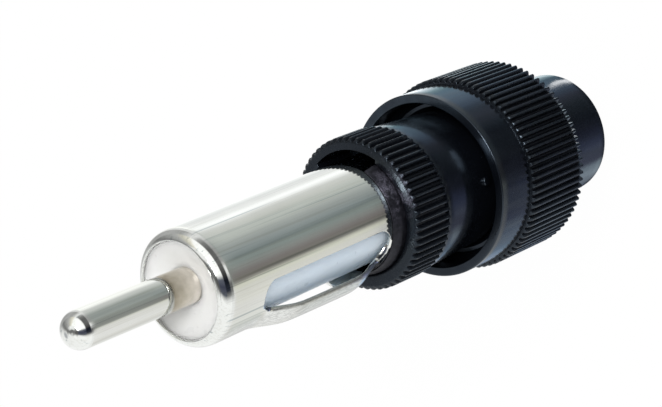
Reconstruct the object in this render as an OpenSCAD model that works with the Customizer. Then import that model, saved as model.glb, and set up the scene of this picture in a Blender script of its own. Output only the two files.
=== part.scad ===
// Male car aerial plug, standing on the rear face of its screw cap with the pin up.
// Millimetres. The origin is the centre of the rest face and Z runs up the plug's axis.
// The bowed spring strip of the sleeve faces -X.

/* [Contact pin] */
// Diameter of the centre pin
pin_d = 3; // [2.8:0.05:3.1]
// Reach of the pin's tip beyond the sleeve's lip
pin_reach = 11.65; // [10.5:0.05:12.5]
// Depth of the rounded tip
pin_dome = 1.42; // [1.2:0.02:1.5]

/* [Insulators] */
// Diameter of the white insulator where the windows show it
core_d = 8.16; // [7.8:0.02:8.3]
// Depth of the dish in its front face
dish_depth = 0.8; // [0.4:0.05:1]

/* [Sleeve] */
// Outside diameter of the plated sleeve
sleeve_d = 9.5; // [9.4:0.02:9.52]
// Sheet thickness of the sleeve
sleeve_wall = 0.4; // [0.35:0.01:0.42]
// Length of sleeve in front of the collar's face
sleeve_reach = 21.02; // [20.6:0.02:21.6]
// Radius of the rolled front lip
lip_r = 0.86; // [0.6:0.02:0.88]
// Diameter of the opening inside the lip
lip_hole_d = 7.94; // [7.8:0.02:8]
// Arc covered by each window, in degrees
window_arc = 34; // [28:1:36]
// Distance from the lip to the windows' front ends
window_from_lip = 4.39; // [4.2:0.01:5]
// Length of the window on the pip's side
window_len = 15.36; // [14:0.01:15.4]
// Length of the square-ended window on the other side
short_window_len = 12.5; // [12:0.01:12.6]
// How far the spring strip bows out of the sleeve
strip_bow = 0.9; // [0.4:0.05:1]

/* [Split bush] */
// Radial thickness of the split bush
bush_wall = 0.4; // [0.35:0.01:0.42]
// How far its bevelled nose stands out of the collar
bush_nose = 1.12; // [0.6:0.02:1.2]
// Arc of its gap, in degrees
bush_gap = 72; // [40:1:90]
// Turn of the gap's middle from +X, in degrees
gap_turn = -29; // [-40:1:-20]

/* [Collar] */
// Diameter over the collar's flutes
collar_d = 13.28; // [12.9:0.02:13.4]
// Length of the fluted ring
collar_len = 4.23; // [3.6:0.01:4.6]
// Number of flutes on the collar
collar_flutes = 60; // [48:1:66]
// Depth of the collar's flutes
collar_flute_depth = 0.28; // [0.15:0.01:0.3]
// Barrel diameter behind the flutes
barrel_front_d = 12.94; // [12.7:0.02:13]
// Barrel diameter where the skirt covers it
barrel_rear_d = 12.3; // [12.2:0.02:12.6]

/* [Cap] */
// Diameter over the band's flutes
band_d = 17.28; // [16.8:0.02:17.4]
// Length of the fluted band
band_len = 7.35; // [6.6:0.01:7.6]
// Number of flutes on the band
band_flutes = 84; // [72:1:90]
// Depth of the band's flutes
band_flute_depth = 0.28; // [0.15:0.01:0.3]
// Diameter of the skirt
skirt_d = 16.3; // [16.2:0.02:16.36]
// Length of the skirt in front of the band
skirt_len = 3.98; // [3.4:0.01:4.4]
// Diameter inside the skirt's mouth
skirt_hole_d = 14.7; // [14.4:0.02:15.1]
// Diameter of the rear boss
boss_d = 11.2; // [10.5:0.02:11.3]
// Length of the rear boss
boss_len = 8.18; // [7.9:0.01:8.6]
// Diameter of the cable hole
cable_hole_d = 5.6; // [5:0.1:5.7]

/* [Screw joint] */
// Major diameter of the collar's rear thread, drawn plain
thread_d = 12; // [11.9:0.02:12.06]
// Radial running clearance of the screw joint
thread_clearance = 0.05; // [0.02:0.01:0.09]

/* [Hidden] */
$fn = 96;

// heights of the black parts, from the rest face up
band_z = boss_len;
skirt_z = band_z + band_len;
mouth_z = skirt_z + skirt_len;
flute_z = mouth_z + 5.25;
face_z = flute_z + collar_len;
lip_z = face_z + sleeve_reach;
tip_z = lip_z + pin_reach;

// inside of the cap
washer_z = 3.7;
washer_t = 0.6;
gasket_t = 1.6;
clamp_len = 5.9;
gland_r = 4.4;
gland_top = 9.7;
thread_r = thread_d / 2;
thread_top = skirt_z + 0.7;
hollow_r = skirt_hole_d / 2;
cable_r = cable_hole_d / 2;

// inside of the collar
collar_rear = gland_top + 0.5;
seat_z = collar_rear + 3.7;
seat_r = 5.12;
bush_z = face_z - 4.5;
bush_r = sleeve_d / 2 + bush_wall;
gap_r = bush_r + 0.46;

// sleeve and what it holds
sleeve_r = sleeve_d / 2;
tube_r = sleeve_r - sleeve_wall;
flange_t = 0.9;
sleeve_rear = seat_z - flange_t;
window_top = lip_z - window_from_lip;
window_r = window_arc / 2 * PI / 180 * sleeve_r;
strip_top = window_top - 0.36;
strip_rear = window_top - window_len + 0.45;
strip_half = 2.2;
core_r = core_d / 2;
dish_z = lip_z - 0.24;

// pin, with the neck and the waist that the insulator is moulded around
pin_r = pin_d / 2;
neck_r = pin_r - 0.2;
neck_z = dish_z - dish_depth + 0.06;
stem_r = pin_r * 0.68;
stem_z = lip_z - 4.6;
cup_r = 1.75;
cup_z = sleeve_rear + 0.6;
cup_top = cup_z + 4.9;
core_rear = sleeve_rear + 4.6;
slip = 0.02;

// An arc as points, about a centre, from one angle to another.
function arc(c, r, a0, a1, n) = [for (i = [0 : n]) [c[0] + r * cos(a0 + (a1 - a0) * i / n), c[1] + r * sin(a0 + (a1 - a0) * i / n)]];

// Outline of a ring of straight flutes: each ridge has a blunted crest and V grooves on both sides.
ridge = [[-0.12, 0.15], [0, 0], [0.12, 0.15], [0.5, 1]];
function flutes(r, depth, count) = [for (i = [0 : count - 1]) for (k = ridge)
    (r - k[1] * depth) * [cos((i + k[0]) * 360 / count), sin((i + k[0]) * 360 / count)]];

// A ring turned from a half section given as [radius, height] points.
module turned(section) {
    rotate_extrude() polygon(section);
}

// A sector of a cylinder, used as a cutter.
module sector(r, z0, z1, from, to) {
    steps = 6;
    translate([0, 0, z0])
        linear_extrude(height = z1 - z0)
            polygon(concat([[0, 0]], [for (i = [0 : steps]) 1.5 * r * [cos(from + (to - from) * i / steps), sin(from + (to - from) * i / steps)]]));
}

// Centre pin: domed tip, full shank, waisted stem in the insulator and a solder cup at the rear.
module contact_pin() {
    dome = [for (i = [0 : 9]) [pin_r * cos(i * 10), tip_z - pin_dome + pin_dome * sin(i * 10)]];
    color([0.78, 0.76, 0.72])
        turned(concat(dome, [
            [0, tip_z], [0, cup_z + 4.2], [0.75, cup_z + 3.8], [0.8, cup_z], [cup_r - 0.1, cup_z], [cup_r, cup_z + 0.1],
            [cup_r, cup_top], [stem_r, cup_top + 0.5], [stem_r, stem_z], [neck_r, stem_z + 0.5],
            [neck_r, neck_z], [pin_r, neck_z]]));
}

// White insulator: dished front face, lands at both ends and a long waist behind the windows.
module front_insulator() {
    color([0.93, 0.94, 0.94])
        turned([
            [neck_r + slip, dish_z - dish_depth], [2.2, dish_z - dish_depth * 0.86], [3.1, dish_z - dish_depth * 0.5], [3.75, dish_z - dish_depth * 0.12],
            [3.9, dish_z - 0.02], [tube_r - 0.33, dish_z - 0.1], [tube_r - slip, dish_z - 0.55],
            [tube_r - slip, lip_z - 3.6], [core_r, lip_z - 3.9],
            [core_r, bush_z + 1.2], [tube_r - slip, bush_z + 0.8], [tube_r - slip, core_rear],
            [cup_r + 0.15, core_rear], [cup_r + 0.15, cup_top + 0.1], [stem_r + slip, cup_top + 0.8],
            [stem_r + slip, stem_z - slip], [neck_r + slip, stem_z + 0.5]]);
}

// White disc that steadies the pin's solder cup in the sleeve's rear end.
module rear_insulator() {
    z0 = sleeve_rear + 1.1;
    color([0.93, 0.94, 0.94])
        turned([[cup_r + slip, z0], [tube_r - 0.32, z0], [tube_r - slip, z0 + 0.3], [tube_r - slip, core_rear], [cup_r + slip, core_rear]]);
}

// Outline of a window as seen from the strip's side, [across, along]: unrolled on the sleeve, with a round
// front end and a rear end of the given corner radius.
function window_outline(length, corner) = let (
        rear = window_top - length + corner,
        u = concat(arc([0, window_top - window_r], window_r, 0, 180, 12),
            arc([corner - window_r, rear], corner, 180, 270, 6), arc([window_r - corner, rear], corner, 270, 360, 6))
    ) [for (p = u) [sleeve_r * sin(window_arc + p[0] / sleeve_r * 180 / PI), p[1]]];

// Cutter for one window, straight in the direction in which the strip bows.
module window(side, length, corner) {
    rotate([90, 0, -90])
        linear_extrude(height = 9)
            polygon([for (p = window_outline(length, corner)) [side * p[0], p[1]]]);
}

// Bend points of the spring strip, [offset, height] from its front root to its rear root.
strip_path = [
    [0, strip_top], [0.1, strip_top - 0.5], [0.76, strip_top - 3.5], [0.87, strip_top - 4.3], [0.96, strip_top - 7.8],
    [1, strip_top - 11.3], [0.86, strip_top - 12.1], [0.12, strip_rear + 0.4], [0, strip_rear]];

// Lean of the strip between two bend points, and the mean lean at a bend.
function lean(i) = atan2((strip_path[i + 1][0] - strip_path[i][0]) * strip_bow, strip_path[i][1] - strip_path[i + 1][1]);
function mitre(i) = i == 0 || i == len(strip_path) - 1 ? 0 : (lean(i - 1) + lean(i)) / 2;

// One straight length of the strip: a leaning piece of tube trimmed at the mitres of its two bends.
module strip_length(i) {
    a = strip_path[i];
    b = strip_path[i + 1];
    block = 14;
    intersection() {
        translate([-a[0] * strip_bow, 0, a[1]])
            rotate([0, lean(i), 0])
                translate([0, 0, -8])
                    difference() {
                        cylinder(h = 16, r = sleeve_r);
                        translate([0, 0, -1]) cylinder(h = 18, r = tube_r);
                    }
        translate([-a[0] * strip_bow, 0, a[1]])
            rotate([0, mitre(i), 0])
                translate([-block, -strip_half, -block])
                    cube([block, 2 * strip_half, block]);
        translate([-b[0] * strip_bow, 0, b[1]])
            rotate([0, mitre(i + 1), 0])
                translate([-block, -strip_half, 0])
                    cube([block, 2 * strip_half, block]);
    }
}

// Formed web that joins the strip's rear slope to the wall behind the short window.
module strip_web() {
    low = -sqrt(tube_r * tube_r - strip_half * strip_half);
    wall = -sqrt(sleeve_r * sleeve_r - strip_half * strip_half);
    front = window_top - short_window_len + 0.1;
    translate([0, strip_half + 0.1, 0])
        rotate([90, 0, 0])
            linear_extrude(height = 0.5)
                polygon([[low - 0.1, strip_rear], [wall + 0.04, strip_rear], [wall - 0.12 * strip_bow, strip_rear + 0.4],
                    [wall - 0.83 * strip_bow, front], [low - 0.1, front]]);
}

// Plated sleeve: rolled lip, two windows with the bowed strip between them, rear flange.
module sleeve() {
    lip = arc([sleeve_r - lip_r, lip_z - lip_r], lip_r, 0, 82, 7);
    hole = lip_hole_d / 2;
    color([0.8, 0.79, 0.76])
        difference() {
            union() {
                difference() {
                    turned(concat(lip, [
                        [hole + 0.03, lip_z - 0.03], [hole, lip_z - 0.1], [hole, lip_z - 0.22], [tube_r, lip_z - 0.75],
                        [tube_r, sleeve_rear], [seat_r - 0.12, sleeve_rear], [seat_r - 0.02, sleeve_rear + 0.1],
                        [seat_r - 0.02, seat_z], [sleeve_r, seat_z]]));
                    translate([-9, -strip_half, strip_rear])
                        cube([9, 2 * strip_half, strip_top - strip_rear]);
                }
                for (i = [0 : len(strip_path) - 2])
                    strip_length(i);
                strip_web();
            }
            window(1, window_len, window_r - 0.02);
            window(-1, short_window_len, 0.4);
        }
}

// Split bush between sleeve and collar: bevelled nose, a gap and a small locating nib.
module split_bush() {
    bore = sleeve_r + 0.02;
    nose_z = face_z + bush_nose;
    half = bush_gap / 2;
    nib_turn = 240;
    color([0.11, 0.1, 0.12]) {
        difference() {
            turned([
                [bore, nose_z], [bore + 0.05, nose_z], [bush_r - 0.06, face_z + 0.32], [bush_r - 0.02, face_z + 0.24],
                [bush_r - 0.02, bush_z + 0.3], [bush_r - 0.2, bush_z + 0.02], [bore, bush_z + 0.02]]);
            sector(bush_r, bush_z - 1, nose_z + 1, gap_turn - half, gap_turn + half);
        }
        rotate([0, 0, nib_turn])
            translate([bush_r - 0.12, -0.22, face_z - 1])
                cube([0.3, 0.44, 1.22]);
    }
}

// Collar: fluted ring, tapering barrel with a round pip, thread and the seats inside.
module collar() {
    crest = collar_d / 2;
    half = bush_gap / 2;
    pip_z = mouth_z - 0.3;
    pip_turn = 242;
    pip_r = 0.42;
    barrel_r = barrel_rear_d / 2;
    relief_z = thread_top + 0.6;
    color([0.1, 0.1, 0.11])
        difference() {
            union() {
                intersection() {
                    translate([0, 0, flute_z])
                        linear_extrude(height = collar_len)
                            polygon(flutes(crest, collar_flute_depth, collar_flutes));
                    turned(concat([[0, flute_z], [crest + 0.1, flute_z], [crest + 0.1, face_z - 0.6]],
                        arc([crest - 0.42, face_z - 0.5], 0.5, 8, 90, 5), [[0, face_z]]));
                }
                turned([
                    [0, collar_rear], [thread_r - 0.4, collar_rear], [thread_r, collar_rear + 0.4], [thread_r, thread_top - 0.2],
                    [thread_r - 0.3, thread_top + 0.1], [thread_r - 0.3, relief_z - 0.2], [barrel_r, relief_z + 0.25],
                    [barrel_r, mouth_z - 1], [barrel_front_d / 2, flute_z - 0.4], [barrel_front_d / 2 - 0.02, flute_z + 0.05], [0, flute_z + 0.05]]);
                rotate([0, 0, pip_turn])
                    translate([barrel_r - 0.3, 0, pip_z])
                        rotate([0, 90, 0])
                            turned([[0, -0.5], [pip_r, -0.5], [pip_r, 0.42], [pip_r - 0.08, 0.52], [pip_r - 0.2, 0.57], [0, 0.59]]);
            }
            turned([
                [0, face_z + 1], [bush_r + 0.16, face_z + 1], [bush_r + 0.16, face_z], [bush_r + 0.02, face_z - 0.2], [bush_r + 0.02, bush_z],
                [sleeve_r + 0.02, bush_z], [sleeve_r + 0.02, seat_z], [seat_r, seat_z], [seat_r, collar_rear + 0.3],
                [seat_r + 0.15, collar_rear], [seat_r + 0.15, collar_rear - 1], [0, collar_rear - 1]]);
            intersection() {
                translate([0, 0, face_z - 2.4]) cylinder(h = 4, r = gap_r);
                sector(gap_r, face_z - 3, face_z + 3, gap_turn - half, gap_turn + half);
            }
            rotate([0, 0, 240])
                translate([bush_r - 0.4, -0.24, face_z - 1.02])
                    cube([0.6, 0.48, 2]);
        }
}

// Earthing ferrule: flange against the sleeve's rear flange and a tapered tube for under the braid.
module ground_ferrule() {
    top = sleeve_rear;
    color([0.76, 0.7, 0.55])
        turned([
            [1.8, top], [seat_r - 0.02, top], [seat_r - 0.02, top - 1], [3, top - 1], [2.6, top - 1.4],
            [2.55, top - 3], [2.3, 7.3], [2.15, 7.1], [1.8, 7.1]]);
}

// Slotted clamp that is pushed over the braid: rear flange and a tapering slotted nose.
module braid_clamp() {
    z0 = washer_z + washer_t + gasket_t;
    slots = 4;
    color([0.76, 0.7, 0.55])
        difference() {
            turned([
                [2.9, z0], [gland_r - 0.05, z0], [gland_r - 0.05, z0 + 1.1], [gland_r - 0.25, z0 + 1.4],
                [3.7, z0 + clamp_len - 0.2], [3.5, z0 + clamp_len], [3.1, z0 + clamp_len], [3, z0 + clamp_len - 0.3]]);
            for (i = [0 : slots - 1])
                rotate([0, 0, i * 360 / slots + 45])
                    translate([0, -0.35, z0 + 2])
                        cube([6, 0.7, clamp_len]);
        }
}

// Rubber gasket that grips the cable when the cap is tightened.
module cable_gasket() {
    z0 = washer_z + washer_t;
    color([0.07, 0.07, 0.07])
        turned([[2.95, z0], [gland_r - 0.08, z0], [gland_r - 0.08, z0 + gasket_t], [3.1, z0 + gasket_t], [2.6, z0 + gasket_t * 0.6], [2.6, z0 + gasket_t * 0.4]]);
}

// Plain washer between the cap's shoulder and the gasket.
module thrust_washer() {
    color([0.76, 0.7, 0.55])
        turned([[cable_r + 0.25, washer_z], [gland_r - 0.05, washer_z], [gland_r - 0.05, washer_z + washer_t], [cable_r + 0.25, washer_z + washer_t]]);
}

// Screw cap: rear boss with the cable hole, fluted band and hollow skirt over the barrel.
module cap() {
    crest = band_d / 2;
    skirt_r = skirt_d / 2;
    boss_r = boss_d / 2;
    female_r = thread_r + thread_clearance;
    color([0.09, 0.09, 0.1])
        difference() {
            union() {
                intersection() {
                    translate([0, 0, band_z])
                        linear_extrude(height = band_len)
                            polygon(flutes(crest, band_flute_depth, band_flutes));
                    turned(concat([[0, band_z]], arc([crest - 0.13, band_z + 0.15], 0.15, -90, 0, 3),
                        [[crest + 0.02, skirt_z - 0.24], [crest - 0.16, skirt_z], [0, skirt_z]]));
                }
                turned(concat([[0, 0]], arc([boss_r - 0.2, 0.2], 0.2, -90, 0, 4), [[boss_r, band_z + 0.1], [skirt_r - 0.5, band_z + 0.1]],
                    [[skirt_r, band_z + 0.6]], arc([skirt_r - 0.16, mouth_z - 0.16], 0.16, 0, 90, 4), [[0, mouth_z]]));
            }
            turned([
                [0, mouth_z + 1], [hollow_r + 0.13, mouth_z + 1], [hollow_r + 0.13, mouth_z], [hollow_r + 0.04, mouth_z - 0.04],
                [hollow_r, mouth_z - 0.13], [hollow_r, thread_top + 0.9], [hollow_r - 0.6, thread_top + 0.3],
                [female_r + 0.4, thread_top + 0.3], [female_r, thread_top - 0.1], [female_r, gland_top], [gland_r, gland_top],
                [gland_r, washer_z], [cable_r, washer_z], [cable_r, 0.7], [cable_r + 0.15, 0.3], [cable_r + 0.5, 0], [cable_r + 0.5, -1], [0, -1]]);
        }
}

contact_pin();
front_insulator();
rear_insulator();
sleeve();
split_bush();
collar();
ground_ferrule();
braid_clamp();
cable_gasket();
thrust_washer();
cap();
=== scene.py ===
"""Dresses the car aerial plug: bright nickel pin and sleeve, white insulator, black collar and cap."""

import math

import bmesh
import bpy
from mathutils import Matrix, Vector


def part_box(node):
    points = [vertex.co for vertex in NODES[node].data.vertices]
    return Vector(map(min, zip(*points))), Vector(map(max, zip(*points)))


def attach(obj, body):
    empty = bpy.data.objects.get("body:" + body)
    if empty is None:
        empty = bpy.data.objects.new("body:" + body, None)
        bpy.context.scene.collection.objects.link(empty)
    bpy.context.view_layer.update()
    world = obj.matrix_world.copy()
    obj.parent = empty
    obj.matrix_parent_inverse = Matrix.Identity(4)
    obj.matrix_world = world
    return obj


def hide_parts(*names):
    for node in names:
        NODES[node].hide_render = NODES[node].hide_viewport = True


bl_info = {
    "name": "Aerial Plug",
    "version": (1, 0, 0),
    "blender": (4, 5, 0),
    "location": "View3D > Sidebar > Plug",
    "description": "Models and dresses a car aerial plug on its packed frame",
    "category": "Object",
}

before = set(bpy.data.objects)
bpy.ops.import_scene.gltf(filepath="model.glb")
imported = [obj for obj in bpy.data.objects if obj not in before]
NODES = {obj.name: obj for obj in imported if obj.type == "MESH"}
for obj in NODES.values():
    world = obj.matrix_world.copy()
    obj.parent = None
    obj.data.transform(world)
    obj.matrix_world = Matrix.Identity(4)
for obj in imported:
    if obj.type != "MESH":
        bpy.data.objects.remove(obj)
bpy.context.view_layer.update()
MM = 0.001


def ends(node):
    """Heights of a CAD node's rear and front end along the plug's axis, in millimetres."""
    return [corner[2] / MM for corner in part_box(node)]


SLEEVE_REAR, LIP_Z = ends("sleeve")
PIN_REAR, TIP_Z = ends("contact_pin")
COLLAR_REAR, FACE_Z = ends("collar")
CORE_REAR = ends("front_insulator")[0]
BUSH_REAR, BUSH_NOSE = ends("split_bush")
MOUTH_Z = ends("cap")[1]

# The cap's fluted band, from its rear to the skirt, and the rear end of the collar's flutes.
BAND_Z = 8.18
SKIRT_Z = 15.53
FLUTE_Z = FACE_Z - 4.23

# Crest radii of the two fluted rings.
BAND_CREST = 8.64
COLLAR_CREST = 6.64

# A flute is eight columns of points wide. The ridges give each column's share of the depth, from crest to valley.
FLUTE_COLUMNS = 8
NARROW_RIDGE = (0.0, 0.1, 0.55, 0.95, 1.0)
FULL_RIDGE = (0.0, 0.03, 0.36, 0.93, 1.0)

# The bush's gap, in degrees round the axis.
GAP_START, GAP_END = -65, 7

# How far the rolled lip stands in front of the sleeve's drawn end.
LIP_AHEAD = 0.2

# The table's height: the unscrewed cap, 5 mm lower than at rest, stays above it.
FLOOR_Z = -5.2

# Points closer than this are one point, in metres.
MERGE = 0.0000015

WHITE = (1.0, 1.0, 1.0)


# ---------------------------------------------------------------- settings

class PlugSizes(bpy.types.PropertyGroup):
    """Sizes of the plug's pieces."""

    pin_diameter: bpy.props.FloatProperty(
        name="Pin", description="Diameter of the centre pin", default=0.003, unit="LENGTH")
    sleeve_diameter: bpy.props.FloatProperty(
        name="Sleeve", description="Outside diameter of the sleeve", default=0.0095, unit="LENGTH")
    sleeve_wall: bpy.props.FloatProperty(
        name="Sleeve wall", description="Sheet thickness of the sleeve", default=0.0004, unit="LENGTH")
    lip_radius: bpy.props.FloatProperty(
        name="Lip", description="Radius of the rolled front lip", default=0.00086, unit="LENGTH")
    window_arc: bpy.props.FloatProperty(
        name="Window arc", description="Arc covered by a window", default=math.radians(34), subtype="ANGLE")
    window_length: bpy.props.FloatProperty(
        name="Window length", description="Length of the window on the pip's side", default=0.01536, unit="LENGTH")
    short_window: bpy.props.FloatProperty(
        name="Short window", description="Length of the window on the other side", default=0.0125, unit="LENGTH")
    window_from_lip: bpy.props.FloatProperty(
        name="Window start", description="From the lip to a window", default=0.00439, unit="LENGTH")
    strip_bow: bpy.props.FloatProperty(
        name="Strip bow", description="How far the spring strip bows out", default=0.0009, unit="LENGTH")
    collar_flutes: bpy.props.IntProperty(
        name="Collar flutes", description="Number of flutes on the collar", default=60)
    band_flutes: bpy.props.IntProperty(
        name="Band flutes", description="Number of flutes on the cap", default=84)
    flute_depth: bpy.props.FloatProperty(
        name="Flute depth", description="Depth of the flutes", default=0.0004, unit="LENGTH")


class PlugFinish(bpy.types.PropertyGroup):
    """Colours of the plug's materials."""

    nickel: bpy.props.FloatVectorProperty(
        name="Nickel", description="Colour of the nickel plate", default=(0.775, 0.79, 0.765), subtype="COLOR")
    # Painted reflection: the colour the pin is painted next to the insulator, as the insulator's shaded face mirrored
    # in it.
    painted_reflection: bpy.props.FloatVectorProperty(
        name="Painted reflection", description="Colour of the pin next to the insulator", default=(0.74, 0.695, 0.635),
        subtype="COLOR")
    insulator: bpy.props.FloatVectorProperty(
        name="Insulator", description="Colour of the white insulator", default=(0.77, 0.775, 0.765),
        subtype="COLOR")
    plastic: bpy.props.FloatVectorProperty(
        name="Plastic", description="Colour of the black plastic", default=(0.0022, 0.0028, 0.0042),
        subtype="COLOR")
    bush: bpy.props.FloatVectorProperty(
        name="Bush", description="Colour of the split bush", default=(0.006, 0.006, 0.008), subtype="COLOR")
    # Painted sheen: the pale speckled patch round the bush, light painted on; it is also the colour of the dust
    # specks on the black plastic.
    painted_sheen_and_dust: bpy.props.FloatVectorProperty(
        name="Painted sheen and dust", description="Colour of the painted sheen round the bush, and of the dust", default=(0.13, 0.125, 0.165),
        subtype="COLOR")
    brass: bpy.props.FloatVectorProperty(
        name="Brass", description="Colour of the inner brass parts", default=(0.72, 0.64, 0.46), subtype="COLOR")
    rubber: bpy.props.FloatVectorProperty(
        name="Rubber", description="Colour of the gasket", default=(0.02, 0.02, 0.02), subtype="COLOR")
    floor: bpy.props.FloatVectorProperty(
        name="Floor", description="Colour of the floor", default=(0.86, 0.86, 0.86), subtype="COLOR")


# ---------------------------------------------------------------- modelling

def deselect_all():
    bpy.ops.object.select_all(action="DESELECT")


def pick(piece):
    """Selects one piece alone and makes it the active one."""
    deselect_all()
    piece.select_set(True)
    bpy.context.view_layer.objects.active = piece


def edit_points(piece):
    """Opens a piece in edit mode with no point selected, and gives its editable mesh."""
    pick(piece)
    bpy.ops.object.mode_set(mode="EDIT")
    bpy.ops.mesh.select_mode(type="VERT")
    bpy.ops.mesh.select_all(action="DESELECT")
    return bmesh.from_edit_mesh(piece.data)


def move_points(piece, points, operator, **how):
    """Runs one transform operator on these points of a piece that is in edit mode."""
    for v in points:
        v.select = True
    bmesh.update_edit_mesh(piece.data, loop_triangles=False, destructive=False)
    operator(**how)
    for v in points:
        v.select = False


def radius_of(v):
    """How far a point is from the plug's axis, in millimetres."""
    return math.hypot(v.co.x, v.co.y) / MM


def arc(x, z, radius, start, end, steps):
    """Points of an arc in the half section."""
    turns = [math.radians(start + (end - start) * i / steps) for i in range(steps + 1)]
    return [(x + radius * math.cos(t), z + radius * math.sin(t)) for t in turns]


def stations(z0, z1, step):
    """Heights from z0 to z1, both left out, about a step apart."""
    count = max(2, round(abs(z1 - z0) / step))
    return [z0 + (z1 - z0) * i / count for i in range(1, count)]


def wall(radius, z0, z1, step):
    """Points of a straight wall in the half section, both ends left out."""
    return [(radius, z) for z in stations(z0, z1, step)]


def draw_section(name, points, turn=0.0):
    """Draws a half section, [radius, height] in millimetres, by extruding a point along it. Leaves edit mode on."""
    deselect_all()
    bpy.ops.mesh.primitive_plane_add(size=0.001, location=(0, 0, 0))
    piece = bpy.context.object
    piece.name = piece.data.name = name
    bpy.ops.object.mode_set(mode="EDIT")
    bpy.ops.mesh.select_all(action="SELECT")
    bpy.ops.mesh.merge(type="CENTER")
    spots = [Vector((r * math.cos(turn), r * math.sin(turn), z)) * MM for r, z in points]
    bpy.ops.transform.translate(value=spots[0])
    for before, after in zip(spots, spots[1:]):
        bpy.ops.mesh.extrude_region_move(TRANSFORM_OT_translate={"value": after - before})
    return piece


def weld():
    """Merges the points that lie on each other, in edit mode, and leaves everything selected."""
    bpy.ops.mesh.select_all(action="SELECT")
    bpy.ops.mesh.remove_doubles(threshold=MERGE)


def face_outwards():
    """Turns the faces of the piece in edit mode outwards, and leaves edit mode."""
    bpy.ops.mesh.select_all(action="SELECT")
    bpy.ops.mesh.normals_make_consistent(inside=False)
    bpy.ops.object.mode_set(mode="OBJECT")


def spin_section(steps, angle=math.tau):
    """Spins what is drawn about the plug's axis, closes it and leaves edit mode."""
    bpy.ops.mesh.select_all(action="SELECT")
    bpy.ops.mesh.spin(steps=steps, angle=angle, center=(0, 0, 0), axis=(0, 0, 1))
    weld()
    face_outwards()


def smooth(piece, angle=32):
    """Shades a piece smooth up to an angle."""
    pick(piece)
    bpy.ops.object.shade_smooth_by_angle(angle=math.radians(angle))


def turn_piece(name, points, steps, angle=32):
    """A piece turned from a half section."""
    piece = draw_section(name, points)
    spin_section(steps)
    smooth(piece, angle)
    return piece


def lean_front(piece, z):
    """Draws the front of a piece, from a height up, a little to the strip's side, in line with the bowed strip."""
    lean, reach = 0.2, 19
    mesh = edit_points(piece)
    front = [v for v in mesh.verts if v.co.z / MM > z]
    move_points(piece, front, bpy.ops.transform.translate, value=(-lean * MM, 0, 0), use_proportional_edit=True,
                proportional_edit_falloff="LINEAR", proportional_size=reach * MM)
    bpy.ops.object.mode_set(mode="OBJECT")


def cut(piece, cutter):
    """Takes one closed piece away from another."""
    pick(piece)
    boolean = piece.modifiers.new("Cut", "BOOLEAN")
    boolean.operation = "DIFFERENCE"
    boolean.solver = "EXACT"
    boolean.object = cutter
    bpy.ops.object.modifier_apply(modifier=boolean.name)
    bpy.data.objects.remove(cutter)


def join(piece, *others):
    """Joins more meshes into a piece."""
    pick(piece)
    for other in others:
        other.select_set(True)
    bpy.ops.object.join()


def stand_in_for(piece, node, body, material):
    """Puts a finished piece in a node's place."""
    piece.data.materials.clear()
    piece.data.materials.append(material)
    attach(piece, body)
    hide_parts(node)


def dress(node, material):
    """Gives a CAD node its material."""
    NODES[node].data.materials.clear()
    NODES[node].data.materials.append(material)


def press_flutes(piece, count, crest, depth, z0, z1, ridge):
    """Presses grooves into a ring of a spun body: each column of points is drawn in by its share of the depth."""
    ring = 0.9
    mesh = edit_points(piece)
    rows = {}
    for v in mesh.verts:
        radius = radius_of(v)
        z = v.co.z / MM
        column = round(math.atan2(v.co.y, v.co.x) / math.tau * count * FLUTE_COLUMNS) % FLUTE_COLUMNS
        column = min(column, FLUTE_COLUMNS - column)
        target = crest - depth * ridge[column]
        if z0 - 0.001 <= z <= z1 + 0.001 and radius > target + 0.0005 and radius > crest - ring:
            rows.setdefault((round(z, 3), round(radius, 3), target), []).append(v)
    for (z, radius, target), row in rows.items():
        share = target / radius
        move_points(piece, row, bpy.ops.transform.resize, value=(share, share, 1), center_override=(0, 0, 0))
    bpy.ops.object.mode_set(mode="OBJECT")


# ---------------------------------------------------------------- materials

def new_material(name):
    """A node material with its nodes and its shader."""
    material = bpy.data.materials.new(name)
    material.use_nodes = True
    tree = material.node_tree
    return material, tree, tree.nodes["Principled BSDF"]


def add(tree, kind, **values):
    """Adds a node and sets its sockets and properties by name."""
    node = tree.nodes.new(kind)
    for key, value in values.items():
        if hasattr(node, key):
            setattr(node, key, value)
        else:
            node.inputs[key.replace("_", " ")].default_value = value
    return node


def feed(tree, *pairs):
    """Links or sets sockets: each pair is a value or an output, and the socket that takes it."""
    for value, socket in pairs:
        if isinstance(value, bpy.types.NodeSocket):
            tree.links.new(value, socket)
        else:
            socket.default_value = value


def math_node(tree, operation, *values):
    """A maths node."""
    node = add(tree, "ShaderNodeMath", operation=operation)
    feed(tree, *zip(values, node.inputs))
    return node.outputs[0]


def plus(tree, first, second):
    """Adds two patterns."""
    return math_node(tree, "ADD", first, second)


def larger(tree, first, second):
    """The larger of two masks."""
    return math_node(tree, "MAXIMUM", first, second)


def times(tree, first, *others):
    """Multiplies masks."""
    for other in others:
        first = math_node(tree, "MULTIPLY", first, other)
    return first


def noise(tree, scale, detail=3.0, stretch=(1, 1, 1)):
    """Noise on object coordinates, stretched if asked."""
    where = add(tree, "ShaderNodeTexCoord")
    mapping = add(tree, "ShaderNodeMapping", Scale=stretch)
    tree.links.new(where.outputs["Object"], mapping.inputs["Vector"])
    texture = add(tree, "ShaderNodeTexNoise", Scale=scale, Detail=detail)
    tree.links.new(mapping.outputs["Vector"], texture.inputs["Vector"])
    return texture.outputs["Fac"]


def spread(tree, source, low, high, from_low=0.3, from_high=0.7):
    """Maps a pattern to a range of values."""
    node = add(tree, "ShaderNodeMapRange", From_Min=from_low, From_Max=from_high, To_Min=low, To_Max=high)
    tree.links.new(source, node.inputs["Value"])
    return node.outputs["Result"]


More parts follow.
